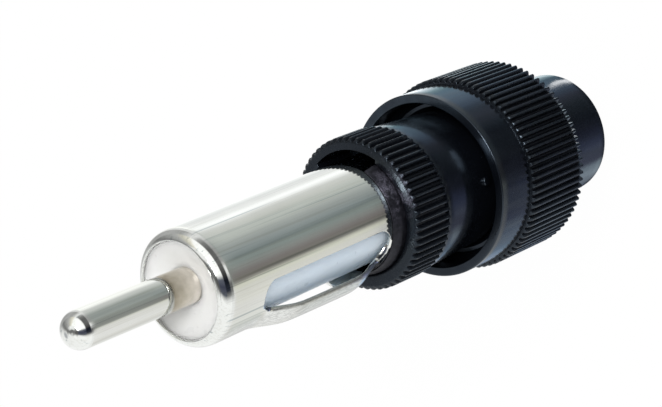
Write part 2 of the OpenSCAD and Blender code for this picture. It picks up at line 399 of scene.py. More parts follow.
def along(tree, axis, low, high):
    """0 to 1 along X, Y or Z between two places in millimetres."""
    where = add(tree, "ShaderNodeTexCoord")
    split = add(tree, "ShaderNodeSeparateXYZ")
    tree.links.new(where.outputs["Object"], split.inputs["Vector"])
    return spread(tree, split.outputs[axis], 0, 1, low * MM, high * MM)


def inward(tree, high, low):
    """0 to 1 towards the plug's axis between two radii in millimetres."""
    where = add(tree, "ShaderNodeTexCoord")
    flat = add(tree, "ShaderNodeVectorMath", operation="MULTIPLY")
    size = add(tree, "ShaderNodeVectorMath", operation="LENGTH")
    feed(tree, (where.outputs["Object"], flat.inputs[0]), ((1, 1, 0), flat.inputs[1]),
         (flat.outputs["Vector"], size.inputs[0]))
    return spread(tree, size.outputs["Value"], 0, 1, high * MM, low * MM)


def mix(tree, factor, first, second, blend="MIX"):
    """Blends two colours."""
    node = add(tree, "ShaderNodeMix", data_type="RGBA", blend_type=blend)
    feed(tree, (factor, node.inputs[0]), (first, node.inputs[6]), (second, node.inputs[7]))
    return node.outputs[2]


def shade(tree, colour, pattern):
    """Multiplies a colour by a pattern's colours."""
    return mix(tree, 1.0, colour, pattern, "MULTIPLY")


def coat(tree, shader, colour, roughness):
    """Gives a shader its colour and its roughness."""
    feed(tree, (colour, shader.inputs["Base Color"]), (roughness, shader.inputs["Roughness"]))


def tint(tree, source, dark, light, start=0.3, end=0.7):
    """Maps a pattern to a range of colours."""
    ramp = add(tree, "ShaderNodeValToRGB")
    for element, position, colour in zip(ramp.color_ramp.elements, (start, end), (dark, light)):
        element.position = position
        element.color = (*colour, 1)
    tree.links.new(source, ramp.inputs["Fac"])
    return ramp.outputs["Color"]


def relief(tree, shader, patterns, edge=None):
    """Stacks bumps, each (pattern, strength, depth), over softly broken edges."""
    normal = None
    if edge:
        soft = add(tree, "ShaderNodeBevel", samples=4, Radius=edge)
        normal = soft.outputs["Normal"]
    for pattern, strength, depth in patterns:
        bump = add(tree, "ShaderNodeBump", Strength=strength, Distance=depth)
        tree.links.new(pattern, bump.inputs["Height"])
        if normal:
            tree.links.new(normal, bump.inputs["Normal"])
        normal = bump.outputs["Normal"]
    tree.links.new(normal, shader.inputs["Normal"])


def scaled(colour, *factors):
    """A colour times one factor, or times one for each of its channels."""
    if len(factors) == 1:
        factors = factors * 3
    return tuple(min(1.0, c * factor) for c, factor in zip(colour, factors))


def nickel_plate(name, colour, painted_reflection=None):
    """Bright nickel plate with draw lines, clouding and scratches. If a painted reflection colour is given, it is
    painted next to the insulator with the insulator's shaded face as mirrored in it, darker towards the tip, and if
    not, it is grained where the strip rubs."""
    material, tree, shader = new_material(name)
    shader.inputs["Metallic"].default_value = 1.0
    lines = noise(tree, 1500, 2, (1, 1, 0.03))
    hairs = noise(tree, 5200, 3, (1, 1, 0.012))
    scratches = noise(tree, 2600, 2, (1, 1, 0.006))
    clouds = noise(tree, 260, 3)
    plate = tint(tree, clouds, scaled(colour, 0.96), scaled(colour, 1.03))
    plate = shade(tree, plate, tint(tree, hairs, (0.92, 0.915, 0.90), WHITE, 0.34, 0.5))
    plate = shade(tree, plate, tint(tree, scratches, (0.62, 0.66, 0.68), WHITE, 0.28, 0.37))
    if painted_reflection:
        # Painted reflection: next to the insulator the pin is painted tan, as the insulator's shaded face mirrored in
        # it, darker towards the tip.
        depth = along(tree, "Z", LIP_Z - 1.0, LIP_Z + 1.9)
        painted_face = tint(tree, depth, scaled(painted_reflection, 1.06), scaled(painted_reflection, 0.64, 0.61, 0.53), 0.2, 1.0)
        painted_face = shade(tree, painted_face, tint(tree, noise(tree, 1700, 3), (0.84, 0.84, 0.82), (1.05, 1.05, 1.05)))
        plate = mix(tree, along(tree, "Z", LIP_Z + 2.22, LIP_Z + 1.95), plate, painted_face)
        gloss = spread(tree, clouds, 0.035, 0.07)
    else:
        rubbed = along(tree, "X", -4.72, -5.0)
        grain = spread(tree, noise(tree, 5200, 3, (1, 1, 0.4)), 0, 1, 0.42, 0.62)
        plate = mix(tree, times(tree, rubbed, grain), plate, (*scaled(colour, 0.78), 1))
        gloss = plus(tree, spread(tree, clouds, 0.05, 0.10), times(tree, rubbed, 0.16))
    coat(tree, shader, plate, gloss)
    dents = noise(tree, 700, 2)
    relief(tree, shader, [(lines, 0.06, 0.00002), (hairs, 0.05, 0.00001), (dents, 0.05, 0.00003)], 0.00005)
    return material


def white_insulator(colour):
    """Moulded white insulator: milky, satin, faintly uneven, with painted shade that makes it darker and bluer
    further back inside the sleeve.
    """
    material, tree, shader = new_material("Milky white insulator")
    shader.inputs["Subsurface Weight"].default_value = 1.0
    shader.inputs["Subsurface Radius"].default_value = (1.0, 1.0, 1.0)
    shader.inputs["Subsurface Scale"].default_value = 0.003
    shader.inputs["IOR"].default_value = 1.5
    # Painted shade: darker and bluer towards the back, inside the sleeve.
    depth = along(tree, "Z", LIP_Z - 4.0, LIP_Z - 1.5)
    body = tint(tree, depth, scaled(colour, 0.79, 0.90, 1.03), colour, 0.0, 1.0)
    clouds = tint(tree, noise(tree, 300, 3), (0.95, 0.95, 0.94), WHITE)
    gloss = spread(tree, noise(tree, 900, 3), 0.26, 0.4)
    coat(tree, shader, shade(tree, body, clouds), gloss)
    relief(tree, shader, [(noise(tree, 2200, 3), 0.08, 0.00003)])
    return material


def painted_sheen(tree, colour, painted_sheen_and_dust, low):
    """A speckled pale painted sheen over a colour, in a patch on the side of -Y and from a height up: colour and
    mask.
    """
    patch = times(tree, along(tree, "Y", -4.0, -4.8), along(tree, "X", 2.4, -0.4), along(tree, "X", -3.3, -2.3))
    blotches = spread(tree, noise(tree, 900, 2), 0.04, 0.8, 0.45, 0.66)
    specks = spread(tree, noise(tree, 8000, 2), 0.05, 1, 0.42, 0.60)
    painted_sheen_patch = times(tree, blotches, specks, patch, along(tree, "Z", low, low + 0.25))
    return mix(tree, painted_sheen_patch, colour, (*painted_sheen_and_dust, 1)), painted_sheen_patch


def black_plastic(name, colour, painted_sheen_and_dust, index):
    """Glossy moulded black plastic: uneven in gloss and surface, a little dusty and rougher on the flutes. It has
    painted light mottled on one side of the barrel, painted shade that dims the reflections in the flutes' valleys
    and a painted sheen round the bush. The index sets how strongly it mirrors."""
    material, tree, shader = new_material(name)
    shader.inputs["IOR"].default_value = index
    clouds = noise(tree, 220, 4)
    streaks = noise(tree, 1300, 3, (1, 1, 0.09))
    # Painted sheen: a pale speckled patch on the collar's front face round the bush.
    body, painted_sheen_patch = painted_sheen(tree, tint(tree, clouds, scaled(colour, 0.7), scaled(colour, 1.4)), painted_sheen_and_dust, FACE_Z - 0.3)
    dust = spread(tree, noise(tree, 6500, 2), 0, 0.35, 0.74, 0.82)
    body = mix(tree, dust, body, (*scaled(painted_sheen_and_dust, 1.5), 1))
    # Painted light: a mottled bluish grey patch on the barrel's +X side, between the collar's flutes and the skirt,
    # standing in for light reaching it there.
    barrel = times(tree, along(tree, "Z", FLUTE_Z + 0.14, FLUTE_Z - 0.06), along(tree, "Z", 18.5, 20.5))
    painted_barrel_light = times(tree, barrel, along(tree, "X", 2.0, 4.5), spread(tree, noise(tree, 800, 4), 0.25, 1.0))
    body = mix(tree, painted_barrel_light, body, (0.022, 0.032, 0.042, 1))

    cap_flutes = along(tree, "Z", SKIRT_Z + 0.07, SKIRT_Z - 0.08)
    collar_flutes = along(tree, "Z", FLUTE_Z - 0.06, FLUTE_Z + 0.04)
    ahead_of_boss = along(tree, "Z", BAND_Z - 0.18, BAND_Z + 0.02)
    fluted = times(tree, ahead_of_boss, larger(tree, cap_flutes, collar_flutes))
    # Painted shade: in the flutes' valleys a dark specular tint dims the reflection, as shade between the ridges.
    shaded_valleys = larger(tree, times(tree, inward(tree, BAND_CREST - 0.08, BAND_CREST - 0.28), cap_flutes),
                     times(tree, inward(tree, COLLAR_CREST - 0.08, COLLAR_CREST - 0.26), collar_flutes))
    shaded_valleys = times(tree, shaded_valleys, ahead_of_boss, along(tree, "Z", FACE_Z - 0.1, FACE_Z - 0.4))
    mirror = mix(tree, shaded_valleys, (0.66, 0.82, 1.0, 1.0), (0.16, 0.18, 0.22, 1.0))

    gloss = plus(tree, spread(tree, streaks, 0.11, 0.22), times(tree, painted_sheen_patch, 0.25))
    gloss = plus(tree, gloss, times(tree, fluted, 0.10))
    coat(tree, shader, body, gloss)
    feed(tree, (mirror, shader.inputs["Specular Tint"]))
    waves = noise(tree, 480, 3)
    pores = noise(tree, 4200, 2)
    grit = times(tree, noise(tree, 4600, 3), fluted)
    relief(tree, shader, [(streaks, 0.34, 0.00003), (waves, 0.12, 0.00006), (pores, 0.08, 0.00002),
                          (grit, 0.45, 0.00005)], 0.00004)
    return material


def bush_plastic(colour, painted_sheen_and_dust):
    """Satin black of the split bush, speckled, with a patch of painted sheen."""
    material, tree, shader = new_material("Satin black with painted sheen")
    shader.inputs["IOR"].default_value = 1.5
    shader.inputs["Specular Tint"].default_value = (0.45, 0.47, 0.56, 1.0)
    speckle = noise(tree, 3200, 4)
    body = tint(tree, speckle, scaled(colour, 0.5), scaled(colour, 2.0), 0.4, 0.72)
    # Painted sheen: a pale speckled patch on the bush's nose.
    body = painted_sheen(tree, body, painted_sheen_and_dust, FACE_Z - 0.2)[0]
    gloss = spread(tree, noise(tree, 1400, 3), 0.34, 0.5)
    coat(tree, shader, body, gloss)
    relief(tree, shader, [(speckle, 0.5, 0.00005), (noise(tree, 7000, 2), 0.3, 0.00002)], 0.00005)
    return material


def turned_brass(colour):
    """Lightly plated turned brass with fine tool rings."""
    material, tree, shader = new_material("Turned plated brass")
    shader.inputs["Metallic"].default_value = 1.0
    rings = noise(tree, 4000, 2, (0.02, 0.02, 1))
    body = tint(tree, noise(tree, 400, 3), scaled(colour, 0.85), colour)
    coat(tree, shader, body, spread(tree, rings, 0.22, 0.36))
    relief(tree, shader, [(rings, 0.15, 0.00003)], 0.00004)
    return material


def plain_rubber(colour):
    """Plain black rubber."""
    material, tree, shader = new_material("Plain rubber")
    grain = noise(tree, 2600, 4)
    body = tint(tree, grain, scaled(colour, 0.7), scaled(colour, 1.6))
    coat(tree, shader, body, spread(tree, grain, 0.6, 0.8))
    relief(tree, shader, [(grain, 0.2, 0.00004)])
    return material


# ---------------------------------------------------------------- pieces

class PLUG_OT_pin(bpy.types.Operator):
    """Turn the domed centre pin"""

    bl_idname = "plug.pin"
    bl_label = "Contact pin"

    def execute(self, context):
        radius = context.scene.plug_sizes.pin_diameter / 2 / MM
        neck, stem, cup, cup_bore = radius - 0.2, 1.02, 1.75, 0.75
        dome = 1.42
        points = [(r * radius, TIP_Z - dome + dome * z) for r, z in arc(0, 0, 1, 90, 0, 20)]
        points[0] = (0, TIP_Z)
        points += wall(radius, TIP_Z - dome, LIP_Z - 1.1, 0.8)
        points += [(radius, LIP_Z - 1.1), (neck, LIP_Z - 1.12), (neck, LIP_Z - 4.1), (stem, LIP_Z - 4.6),
                   (stem, PIN_REAR + 5.4), (cup, PIN_REAR + 4.9), (cup, PIN_REAR + 0.1), (cup - 0.1, PIN_REAR),
                   (cup_bore + 0.05, PIN_REAR), (cup_bore, PIN_REAR + 3.8), (0, PIN_REAR + 4.2)]
        pin = turn_piece("dress_contact_pin", points, 128)
        finish = context.scene.plug_finish
        # The pin is painted next to the insulator with a reflection of the insulator's shaded face.
        plate = nickel_plate("Bright nickel plate, painted reflection", finish.nickel, finish.painted_reflection)
        stand_in_for(pin, "contact_pin", "plug", plate)
        return {"FINISHED"}


class PLUG_OT_insulator(bpy.types.Operator):
    """Turn the dished white insulator and dress the disc behind it"""

    bl_idname = "plug.insulator"
    bl_label = "Insulators"

    def execute(self, context):
        sizes = context.scene.plug_sizes
        white = white_insulator(context.scene.plug_finish.insulator)
        face = LIP_Z + LIP_AHEAD - 0.24
        tube = (sizes.sleeve_diameter / 2 - sizes.sleeve_wall) / MM - 0.02
        waist, hole, stem_hole, counterbore = 4.08, 1.32, 1.04, 1.9

        # The dish, from the pin outwards: 0.8 mm deep, round a flat ring of 1.5 mm radius.
        dish, ring, rise = 0.8, 1.5, 2.45
        points = [(hole, face - 0.82), (ring, face - dish), (1.62, face - 0.78)]
        for r in (1.8, 2.0, 2.2, 2.5, 2.8, 3.1, 3.3, 3.5, 3.65, 3.8, 3.88):
            points.append((r, face - dish * math.cos((r - ring) / rise * math.pi / 2) ** 1.4))
        points += [(3.93, face + 0.05), (3.965, face + 0.02), (3.985, face - 0.06), (4.06, face - 0.22),
                   (tube, face - 0.55), (tube, LIP_Z - 3.6), (waist, LIP_Z - 3.9)]
        points += wall(waist, LIP_Z - 3.9, BUSH_REAR + 1.2, 2)
        points += [(waist, BUSH_REAR + 1.2), (tube, BUSH_REAR + 0.8), (tube, CORE_REAR), (counterbore, CORE_REAR),
                   (counterbore, CORE_REAR + 1.0), (stem_hole, CORE_REAR + 1.7), (stem_hole, LIP_Z - 4.62),
                   (hole, LIP_Z - 4.1), (hole, face - 0.82)]
        core = turn_piece("dress_front_insulator", points, 144)
        lean_front(core, LIP_Z - 2)
        stand_in_for(core, "front_insulator", "plug", white)
        dress("rear_insulator", white)
        return {"FINISHED"}


class PLUG_OT_sleeve(bpy.types.Operator):
    """Draw the sleeve with its rolled lip, cut the windows and bow the spring strip between them"""

    bl_idname = "plug.sleeve"
    bl_label = "Sleeve"

    # The lip's curve in shares of its radius, from the sleeve's outside to the front: (inwards, back from the front).
    nose = ((0, 1.5), (0.008, 1.28), (0.025, 1.09), (0.055, 0.91), (0.10, 0.745), (0.16, 0.6), (0.235, 0.47),
            (0.32, 0.355), (0.42, 0.25), (0.53, 0.16), (0.64, 0.09), (0.74, 0.042), (0.82, 0.015), (0.86, 0.008))

    # The lip's inside, where it turns in over the insulator: (radius, back from the front).
    turn_in = ((4.0, 0.02), (3.975, 0.05), (3.97, 0.11), (3.98, 0.22), (4.05, 0.36), (4.2, 0.55))

    # The strip's bowed line: (back from the windows' front end, share of the bow). It ends before their rear end.
    bowed = ((0.2, 0.0), (0.9, 0.1), (1.8, 0.32), (2.8, 0.58), (3.8, 0.80), (4.7, 0.9), (6.2, 0.94), (8.2, 0.97),
             (10.2, 1.0), (11.6, 1.0), (12.2, 0.92), (12.9, 0.64), (13.7, 0.32), (14.4, 0.1))

    # Half widths, in millimetres: the strip's own, and that of the wall which it draws along behind the short window.
    strip_half = 2.4
    drawn_half = 3.6

    def execute(self, context):
        sizes = context.scene.plug_sizes
        outer = sizes.sleeve_diameter / 2 / MM
        inner = outer - sizes.sleeve_wall / MM
        lip = sizes.lip_radius / MM
        front = LIP_Z + LIP_AHEAD
        top = LIP_Z - sizes.window_from_lip / MM
        rear = top - sizes.window_length / MM
        short_rear = top - sizes.short_window / MM
        flange, flange_top = 5.1, SLEEVE_REAR + 0.9

        fine = stations(rear - 0.8, top + 0.6, 0.3)
        points = [(outer, flange_top), (outer, rear - 0.8)] + [(outer, z) for z in fine] + [(outer, top + 0.6)]
        points += [(outer - lip * across, front - lip * back) for across, back in self.nose]
        points += [(radius, front - back) for radius, back in self.turn_in]
        points += [(inner, front - 0.75), (inner, top + 0.6)] + [(inner, z) for z in reversed(fine)]
        points += [(inner, rear - 0.8), (inner, SLEEVE_REAR), (flange - 0.1, SLEEVE_REAR),
                   (flange, SLEEVE_REAR + 0.1), (flange, flange_top), (outer, flange_top)]
        sleeve = draw_section("dress_sleeve", points)
        spin_section(288)
        cut(sleeve, self.window(sizes, 1, top, short_rear, outer, 0.4))
        cut(sleeve, self.window(sizes, -1, top, rear, outer))
        self.bow_strip(sleeve, sizes, top, rear, short_rear)
        lean_front(sleeve, LIP_Z - 2)
        smooth(sleeve, 100)
        plate = nickel_plate("Bright nickel plate", context.scene.plug_finish.nickel)
        stand_in_for(sleeve, "sleeve", "plug", plate)
        return {"FINISHED"}

    def window(self, sizes, side, top, rear, outer, corner=None):
        """A round-ended cutter, pushed straight through the wall in the direction in which the strip bows. A corner
        radius squares its rear end."""
        half = sizes.window_arc / 2 * outer
        deselect_all()
        bpy.ops.mesh.primitive_circle_add(vertices=64, radius=half * MM, fill_type="NGON", location=(-0.002, 0, 0),
                                          rotation=(0, math.pi / 2, 0))
        cutter = bpy.context.object
        bpy.ops.object.transform_apply(location=True, rotation=True, scale=True)
        middle = (top + rear) / 2
        stretch = (top - rear) / 2 - half
        for v in cutter.data.vertices:
            across, up = v.co.y / MM, v.co.z / MM
            if corner and up < 0:
                share = math.atan2(-up, across)
                fit = 1 / max(abs(math.cos(share)), abs(math.sin(share)))
                far = half * fit - (fit - 1) * corner
                across, up = far * math.cos(share), -far * math.sin(share)
            up += middle + math.copysign(stretch, up)
            v.co.y = side * outer * math.sin(sizes.window_arc + across / outer) * MM
            v.co.z = up * MM
        bpy.ops.object.mode_set(mode="EDIT")
        bpy.ops.mesh.select_all(action="SELECT")
        bpy.ops.mesh.extrude_region_move(TRANSFORM_OT_translate={"value": (-0.006, 0, 0)})
        face_outwards()
        return cutter

    def bow_strip(self, sleeve, sizes, top, rear, short_rear):
        """Moves the strip's points out, height by height, along its bowed line, and draws the wall behind the short
        window with it."""
        bow = sizes.strip_bow / MM
        foot = rear + 0.4
        head = top - self.bowed[0][0]
        line = [(top - back, share) for back, share in self.bowed] + [(foot, 0.0)]
        mesh = edit_points(sleeve)
        rows = {}
        for v in mesh.verts:
            y, z = v.co.y / MM, v.co.z / MM
            if v.co.x >= 0:
                continue
            if abs(y) < self.strip_half and foot < z < head:
                rows.setdefault((round(z, 2), 1.0), []).append(v)
            elif self.strip_half <= y < self.drawn_half and foot < z < short_rear + 0.01:
                follow = round((self.drawn_half - y) / (self.drawn_half - self.strip_half), 1)
                rows.setdefault((round(z, 2), follow), []).append(v)
        for (z, follow), row in rows.items():
            for (z0, b0), (z1, b1) in zip(line, line[1:]):
                if z1 <= z <= z0:
                    share = b0 + (b1 - b0) * (z0 - z) / (z0 - z1)
            move_points(sleeve, row, bpy.ops.transform.translate, value=(-share * follow * bow * MM, 0, 0))
        bpy.ops.object.mode_set(mode="OBJECT")


class PLUG_OT_bush(bpy.types.Operator):
    """Spin the split bush from one side of its gap round to the other"""

    bl_idname = "plug.bush"
    bl_label = "Split bush"

    def execute(self, context):
        bore = context.scene.plug_sizes.sleeve_diameter / 2 / MM + 0.02
        outer = bore + 0.36
        start, sweep = math.radians(GAP_START), math.radians(360 - (GAP_END - GAP_START))
        points = [(bore, BUSH_REAR), (bore, FACE_Z), (bore, BUSH_NOSE - 0.04), (bore + 0.03, BUSH_NOSE),
                  (bore + 0.08, BUSH_NOSE - 0.03), (outer - 0.05, FACE_Z + 0.34), (outer - 0.01, FACE_Z + 0.26),
                  (outer, FACE_Z + 0.16), (outer, BUSH_REAR + 0.3), (outer - 0.18, BUSH_REAR), (bore, BUSH_REAR)]
        bush = draw_section("dress_split_bush", points, start)
        weld()
        bpy.ops.mesh.edge_face_add()
        spin_section(120, sweep)
        smooth(bush, 35)
        finish = context.scene.plug_finish
        stand_in_for(bush, "split_bush", "plug", bush_plastic(finish.bush, finish.painted_sheen_and_dust))
        return {"FINISHED"}


class PLUG_OT_collar(bpy.types.Operator):
    """Spin the collar, press its flutes, set the round pip on its barrel and wind the thread on its rear"""

    bl_idname = "plug.collar"
    bl_label = "Collar"

    # Radii in millimetres: the rear, on which the cap turns, its thread, and the bore round the bush's gap.
    core = 5.6
    thread_crest = 6.0
    gap_bore = 5.61

    def execute(self, context):
        sizes = context.scene.plug_sizes
        barrel, barrel_front, groove, ferrule_seat, bush_seat, sleeve_bore = 6.15, 6.47, 5.7, 5.12, 5.17, 4.77
        seat_z, groove_z, taper_z = SLEEVE_REAR + 0.9, 16.33, MOUTH_Z - 1
        points = [(ferrule_seat + 0.15, COLLAR_REAR), (self.core - 0.1, COLLAR_REAR), (self.core, COLLAR_REAR + 0.1),
                  (self.core, groove_z - 0.23), (groove, groove_z), (groove, groove_z + 0.3),
                  (barrel, groove_z + 0.75), (barrel, taper_z)]
        widening = (barrel_front - barrel) / (FLUTE_Z - 0.4 - taper_z)
        points += [(barrel + widening * (z - taper_z), z) for z in stations(taper_z, FLUTE_Z - 0.4, 0.6)]
        points += [(barrel_front, FLUTE_Z - 0.4), (barrel_front - 0.01, FLUTE_Z - 0.03),
                   (COLLAR_CREST - 0.05, FLUTE_Z), (COLLAR_CREST, FLUTE_Z + 0.06)]
        points += wall(COLLAR_CREST, FLUTE_Z + 0.06, FACE_Z - 0.6, 0.6)
        points += [(COLLAR_CREST, FACE_Z - 0.6)] + arc(COLLAR_CREST - 0.5, FACE_Z - 0.5, 0.5, 4, 90, 10)
        points += [(5.7, FACE_Z), (5.36, FACE_Z), (5.31, FACE_Z - 0.03), (bush_seat, FACE_Z - 0.2),
                   (bush_seat, BUSH_REAR - 0.02), (sleeve_bore, BUSH_REAR - 0.02), (sleeve_bore, seat_z),
                   (ferrule_seat, seat_z), (ferrule_seat, COLLAR_REAR + 0.3), (ferrule_seat + 0.15, COLLAR_REAR)]
        collar = draw_section("dress_collar", points)
        spin_section(sizes.collar_flutes * FLUTE_COLUMNS)
        press_flutes(collar, sizes.collar_flutes, COLLAR_CREST, sizes.flute_depth / MM, FLUTE_Z, FACE_Z, NARROW_RIDGE)
        self.open_gap(collar)
        smooth(collar, 35)
        join(collar, self.pip(), self.thread())
        finish = context.scene.plug_finish
        black = black_plastic("Black plastic, collar", finish.plastic, finish.painted_sheen_and_dust, 1.45)
        stand_in_for(collar, "collar", "plug", black)
        return {"FINISHED"}

    def open_gap(self, collar):
        """Widens the bore where the bush has its gap."""
        mesh = edit_points(collar)
        rings = {}
        for v in mesh.verts:
            radius = radius_of(v)
            turn = math.degrees(math.atan2(v.co.y, v.co.x))
            if 5.1 < radius < 5.4 and v.co.z / MM > BUSH_REAR - 0.1 and GAP_START <= turn <= GAP_END:
                rings.setdefault(round(radius, 2), []).append(v)
        for radius, ring in rings.items():
            share = self.gap_bore / radius
            move_points(collar, ring, bpy.ops.transform.resize, value=(share, share, 1), center_override=(0, 0, 0))
        bpy.ops.object.mode_set(mode="OBJECT")

    def pip(self):
        """A low round button on the barrel, just in front of the skirt."""
        turn = math.radians(242)
        place = Vector((6.1 * math.cos(turn), 6.1 * math.sin(turn), MOUTH_Z - 0.3)) * MM
        deselect_all()
        bpy.ops.mesh.primitive_cylinder_add(vertices=32, radius=0.42 * MM, depth=0.84 * MM, location=place,
                                            rotation=(0, math.pi / 2, turn))
        pip = bpy.context.object
        bpy.ops.object.transform_apply(location=True, rotation=True, scale=True)
        bevel = pip.modifiers.new("Round", "BEVEL")
        bevel.width = 0.16 * MM
        bevel.segments = 4
        bevel.limit_method = "ANGLE"
        bpy.ops.object.modifier_apply(modifier=bevel.name)
        smooth(pip, 35)
        return pip

    def thread(self):
        """The thread that the cap turns on: one right-hand ridge wound round the core, closed at both ends."""
        pitch, last = 1.25, 15.5
        turns = int((last - COLLAR_REAR - 0.6) / pitch)
        start = last - turns * pitch
        root, flank, crest = self.core - 0.06, self.thread_crest - 0.06, self.thread_crest
        ridge = draw_section("thread", [
            (root, start - 0.56), (flank, start - 0.12), (crest, start - 0.05), (crest, start + 0.05),
            (flank, start + 0.12), (root, start + 0.56), (root, start - 0.56)])
        weld()
        bpy.ops.object.mode_set(mode="OBJECT")
        wind = ridge.modifiers.new("Wind", "SCREW")
        wind.axis = "Z"
        wind.angle = math.tau
        wind.screw_offset = pitch * MM
        wind.iterations = turns
        wind.steps = wind.render_steps = 96
        bpy.ops.object.modifier_apply(modifier=wind.name)
        bpy.ops.object.mode_set(mode="EDIT")
        bpy.ops.mesh.select_all(action="SELECT")
        bpy.ops.mesh.fill_holes(sides=0)
        face_outwards()
        smooth(ridge, 50)
        return ridge


class PLUG_OT_cap(bpy.types.Operator):
    """Spin the screw cap and press the flutes of its band"""

    bl_idname = "plug.cap"
    bl_label = "Cap"

    def execute(self, context):
        sizes = context.scene.plug_sizes
        boss, skirt, hollow, thread_bore, gland_bore, cable_hole = 5.6, 8.15, 7.35, 6.05, 4.4, 2.8
        gland_z, shoulder_z, shelf_z = 3.7, 9.7, 16.53
        points = [(3.3, 0), (4.2, 0)] + arc(boss - 0.2, 0.2, 0.2, -90, 0, 6)
        points += wall(boss, 0.2, BAND_Z - 0.25, 1)
        points += [(boss, BAND_Z - 0.2), (boss + 0.06, BAND_Z - 0.06), (boss + 0.2, BAND_Z)]
        points += arc(BAND_CREST - 0.03, BAND_Z + 0.03, 0.03, -90, 0, 2)
        points += wall(BAND_CREST, BAND_Z + 0.03, SKIRT_Z - 0.24, 0.7)
        points += [(BAND_CREST, SKIRT_Z - 0.24), (BAND_CREST - 0.05, SKIRT_Z - 0.15),
                   (BAND_CREST - 0.13, SKIRT_Z - 0.04), (BAND_CREST - 0.2, SKIRT_Z), (skirt, SKIRT_Z + 0.02)]
        points += wall(skirt, SKIRT_Z + 0.02, MOUTH_Z - 0.2, 0.8)
        points += arc(skirt - 0.1, MOUTH_Z - 0.1, 0.1, 0, 90, 6)
        points += [(7.75, MOUTH_Z)] + arc(hollow + 0.1, MOUTH_Z - 0.1, 0.1, 90, 180, 5)
        points += [(hollow, shelf_z + 0.6), (6.75, shelf_z), (thread_bore + 0.4, shelf_z),
                   (thread_bore, shelf_z - 0.4), (thread_bore, shoulder_z), (gland_bore, shoulder_z),
                   (gland_bore, gland_z), (cable_hole, gland_z), (cable_hole, 0.7), (cable_hole + 0.15, 0.3),
                   (3.3, 0)]
        cap = draw_section("dress_cap", points)
        spin_section(sizes.band_flutes * FLUTE_COLUMNS)
        press_flutes(cap, sizes.band_flutes, BAND_CREST, sizes.flute_depth / MM, BAND_Z, SKIRT_Z, FULL_RIDGE)
        smooth(cap, 35)
        finish = context.scene.plug_finish
        black = black_plastic("Glossy black plastic, cap", finish.plastic, finish.painted_sheen_and_dust, 1.58)
        stand_in_for(cap, "cap", "cap", black)
        return {"FINISHED"}


class PLUG_OT_inner_parts(bpy.types.Operator):
    """Dress the ferrule, clamp, washer and gasket inside the cap"""

    bl_idname = "plug.inner_parts"
    bl_label = "Inner parts"

    def execute(self, context):
        finish = context.scene.plug_finish
        brass = turned_brass(finish.brass)
        for node in ("ground_ferrule", "braid_clamp", "thrust_washer"):
            dress(node, brass)
        dress("cable_gasket", plain_rubber(finish.rubber))
        return {"FINISHED"}


# ---------------------------------------------------------------- stage

# Brightness of the studio round the plug, band by band. Each stop is (degrees of azimuth, grey) or
# (degrees of azimuth, red, green, blue).
TABLE_UNDER = (
    (-180, .42, .44, .62), (-167, .55, .6, .8), (-147, .35, .4, .69), (-126, .15, .16, .26), (-100, .06, .07, .09),
    (-65, .14, .17, .19), (-44, .25, .26, .33), (-24, .44, .6, .83), (-3, .37, .55, .7), (17, .2, .3, .4),
    (28, .3, .5, .6), (37, 1.2, 1.5, 1.6), (58, 1.1, 1.25, 1.3), (72, .5, .6, .65), (80, .03, .04, .05),
    (90, .03, .03, .05), (110, .1, .11, .14), (128, .6, .7, .8), (146, 1.1, 1.3, 1.45), (162, 1.05, 1.25, 1.4),
    (171, .36, .37, .52), (180, .42, .44, .62))
TABLE_LOW = (
    (-180, .21, .25, .39), (-168, .17, .21, .33), (-147, .07, .09, .17), (-138, .01, .01, .02),
    (-74, .02, .02, .03), (-64, .10, .13, .16), (-44, .29, .31, .39), (-33, .15, .20, .25), (-24, .40, .55, .76),
    (-13, .60, .82, 1.08), (7, .56, .84, 1.07), (18, .38, .62, .80), (27, .42, .74, .84), (37, 1.2, 1.50, 1.62),
    (48, 2.0, 2.15, 2.25), (60, 2.7, 2.9, 3.0), (70, .9, 1.05, 1.1), (79, .03, .04, .05), (90, .03, .05, .08),
    (101, .5, .65, .9), (112, .50, .70, .97), (124, .37, .52, .70), (151, .37, .48, .67), (172, .24, .29, .46),
    (180, .21, .25, .39))
TABLE = (
    (-180, .89, .88, .86), (-166, .88, .87, .82), (-146, .80, .79, .74), (-137, .80, .80, .69),
    (-131, .35, .34, .31), (-126, .215, .205, .185), (-116, .24, .22, .215), (-106, .29, .30, .29),
    (-96, .28, .325, .315), (-91, .27, .31, .30), (-87.5, .20, .235, .235), (-84, .26, .30, .305),
    (-76, .32, .36, .365), (-66, .37, .40, .395), (-56, .46, .49, .48), (-46, .59, .62, .59), (-36, .61, .64, .61),
    (-24, .71, .72, .69), (-14, .77, .78, .76), (-8, 1.02, 1.03, 1.03), (3, 1.32, 1.33, 1.34),
    (14, 1.05, 1.06, 1.06), (25, .98, .985, .99), (34, .90, .92, .92), (44, 1.02, 1.04, 1.04),
    (60, 1.14, 1.15, 1.15), (76, 1.05, 1.05, 1.04), (94, .66, .66, .66), (114, .84, .85, .85), (134, .71, .73, .71),
    (150, .90, .90, .87), (180, .89, .88, .86))
TABLE_FAR = (
    (-180, .93, .92, .91), (-146, .88, .87, .85), (-137, .76, .76, .70), (-131, .36, .37, .35),
    (-122, .29, .30, .285), (-106, .275, .29, .275), (-86, .38, .41, .395), (-66, .33, .36, .35),
    (-46, .40, .43, .415), (-26, .64, .66, .64), (-12, .70, .715, .70), (-4, .86, .87, .86), (5, 1.15, 1.16, 1.14),
    (16, 1.26, 1.27, 1.25), (34, 1.2, 1.2, 1.17), (54, 1.1, 1.1, 1.07), (74, 1.04, 1.04, 1.0), (94, .88, .88, .86),
    (114, .88, .88, .86), (134, .76, .75, .73), (150, .92, .91, .89), (180, .93, .92, .91))
